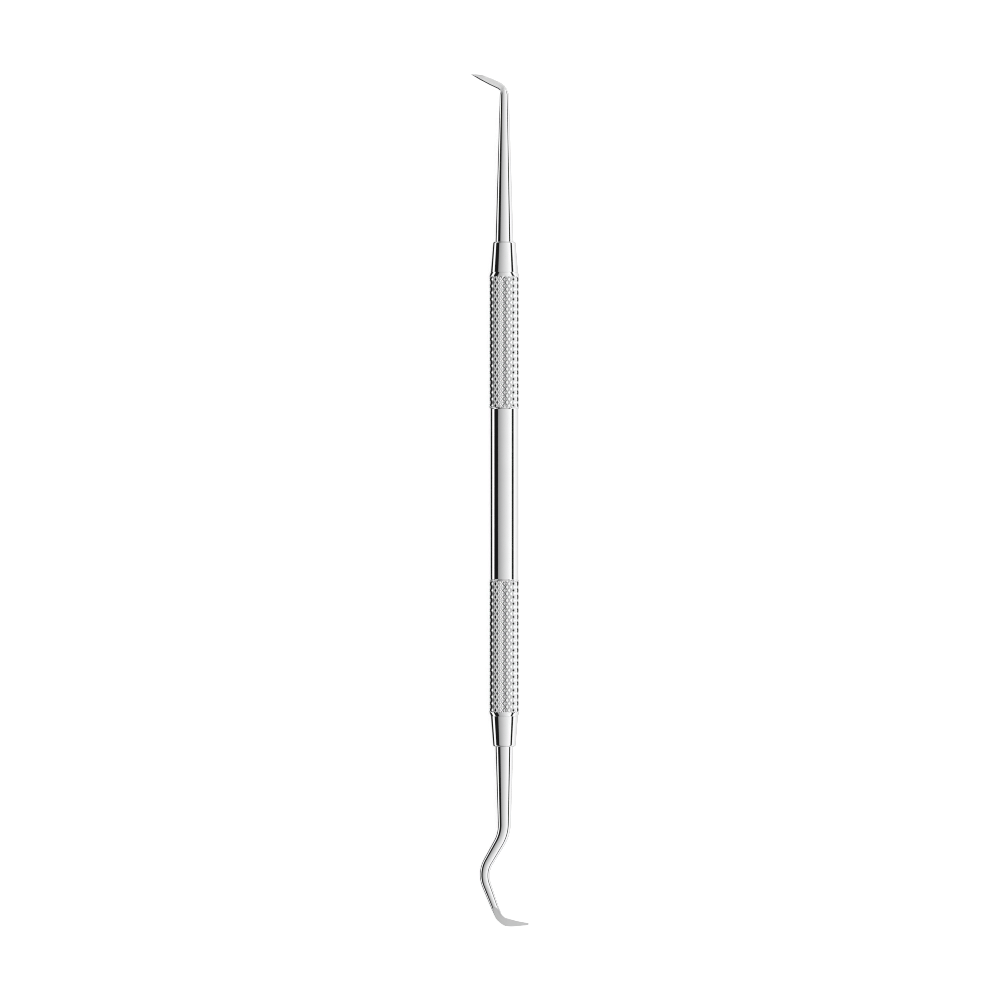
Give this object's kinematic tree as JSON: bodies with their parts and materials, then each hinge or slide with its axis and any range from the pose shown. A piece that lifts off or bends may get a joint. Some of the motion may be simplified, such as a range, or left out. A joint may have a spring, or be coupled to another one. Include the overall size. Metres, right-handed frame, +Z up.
{
  "type": "double-ended dental explorer",
  "caption": "Slim double-ended steel dental hand instrument with a knurled round handle, tapered collars, a short pick blade at one end and a curved sickle blade at the other.",
  "frame": {"origin": "on the handle's axis, at the middle of the smooth band between the two knurled grips", "axes": "+X along the handle towards the pick end, +Z up from the table that the grips and the pick's tip lie on, +Y to the side that the pick points to"},
  "size_m": [0.1699, 0.0104, 0.006],
  "materials": {
    "handle_steel": "mirror-polished stainless steel, with rolled diamond knurling on the grips",
    "collar_steel": "mirror-polished stainless steel",
    "blade_steel": "polished hardened stainless shank with matt, finely ground blade faces"
  },
  "bodies": {
    "root": {"handle_tube": "handle_steel", "pick_collar": "collar_steel", "sickle_collar": "collar_steel", "pick_end": "blade_steel", "sickle_end": "blade_steel"}
  },
  "joints": []
}
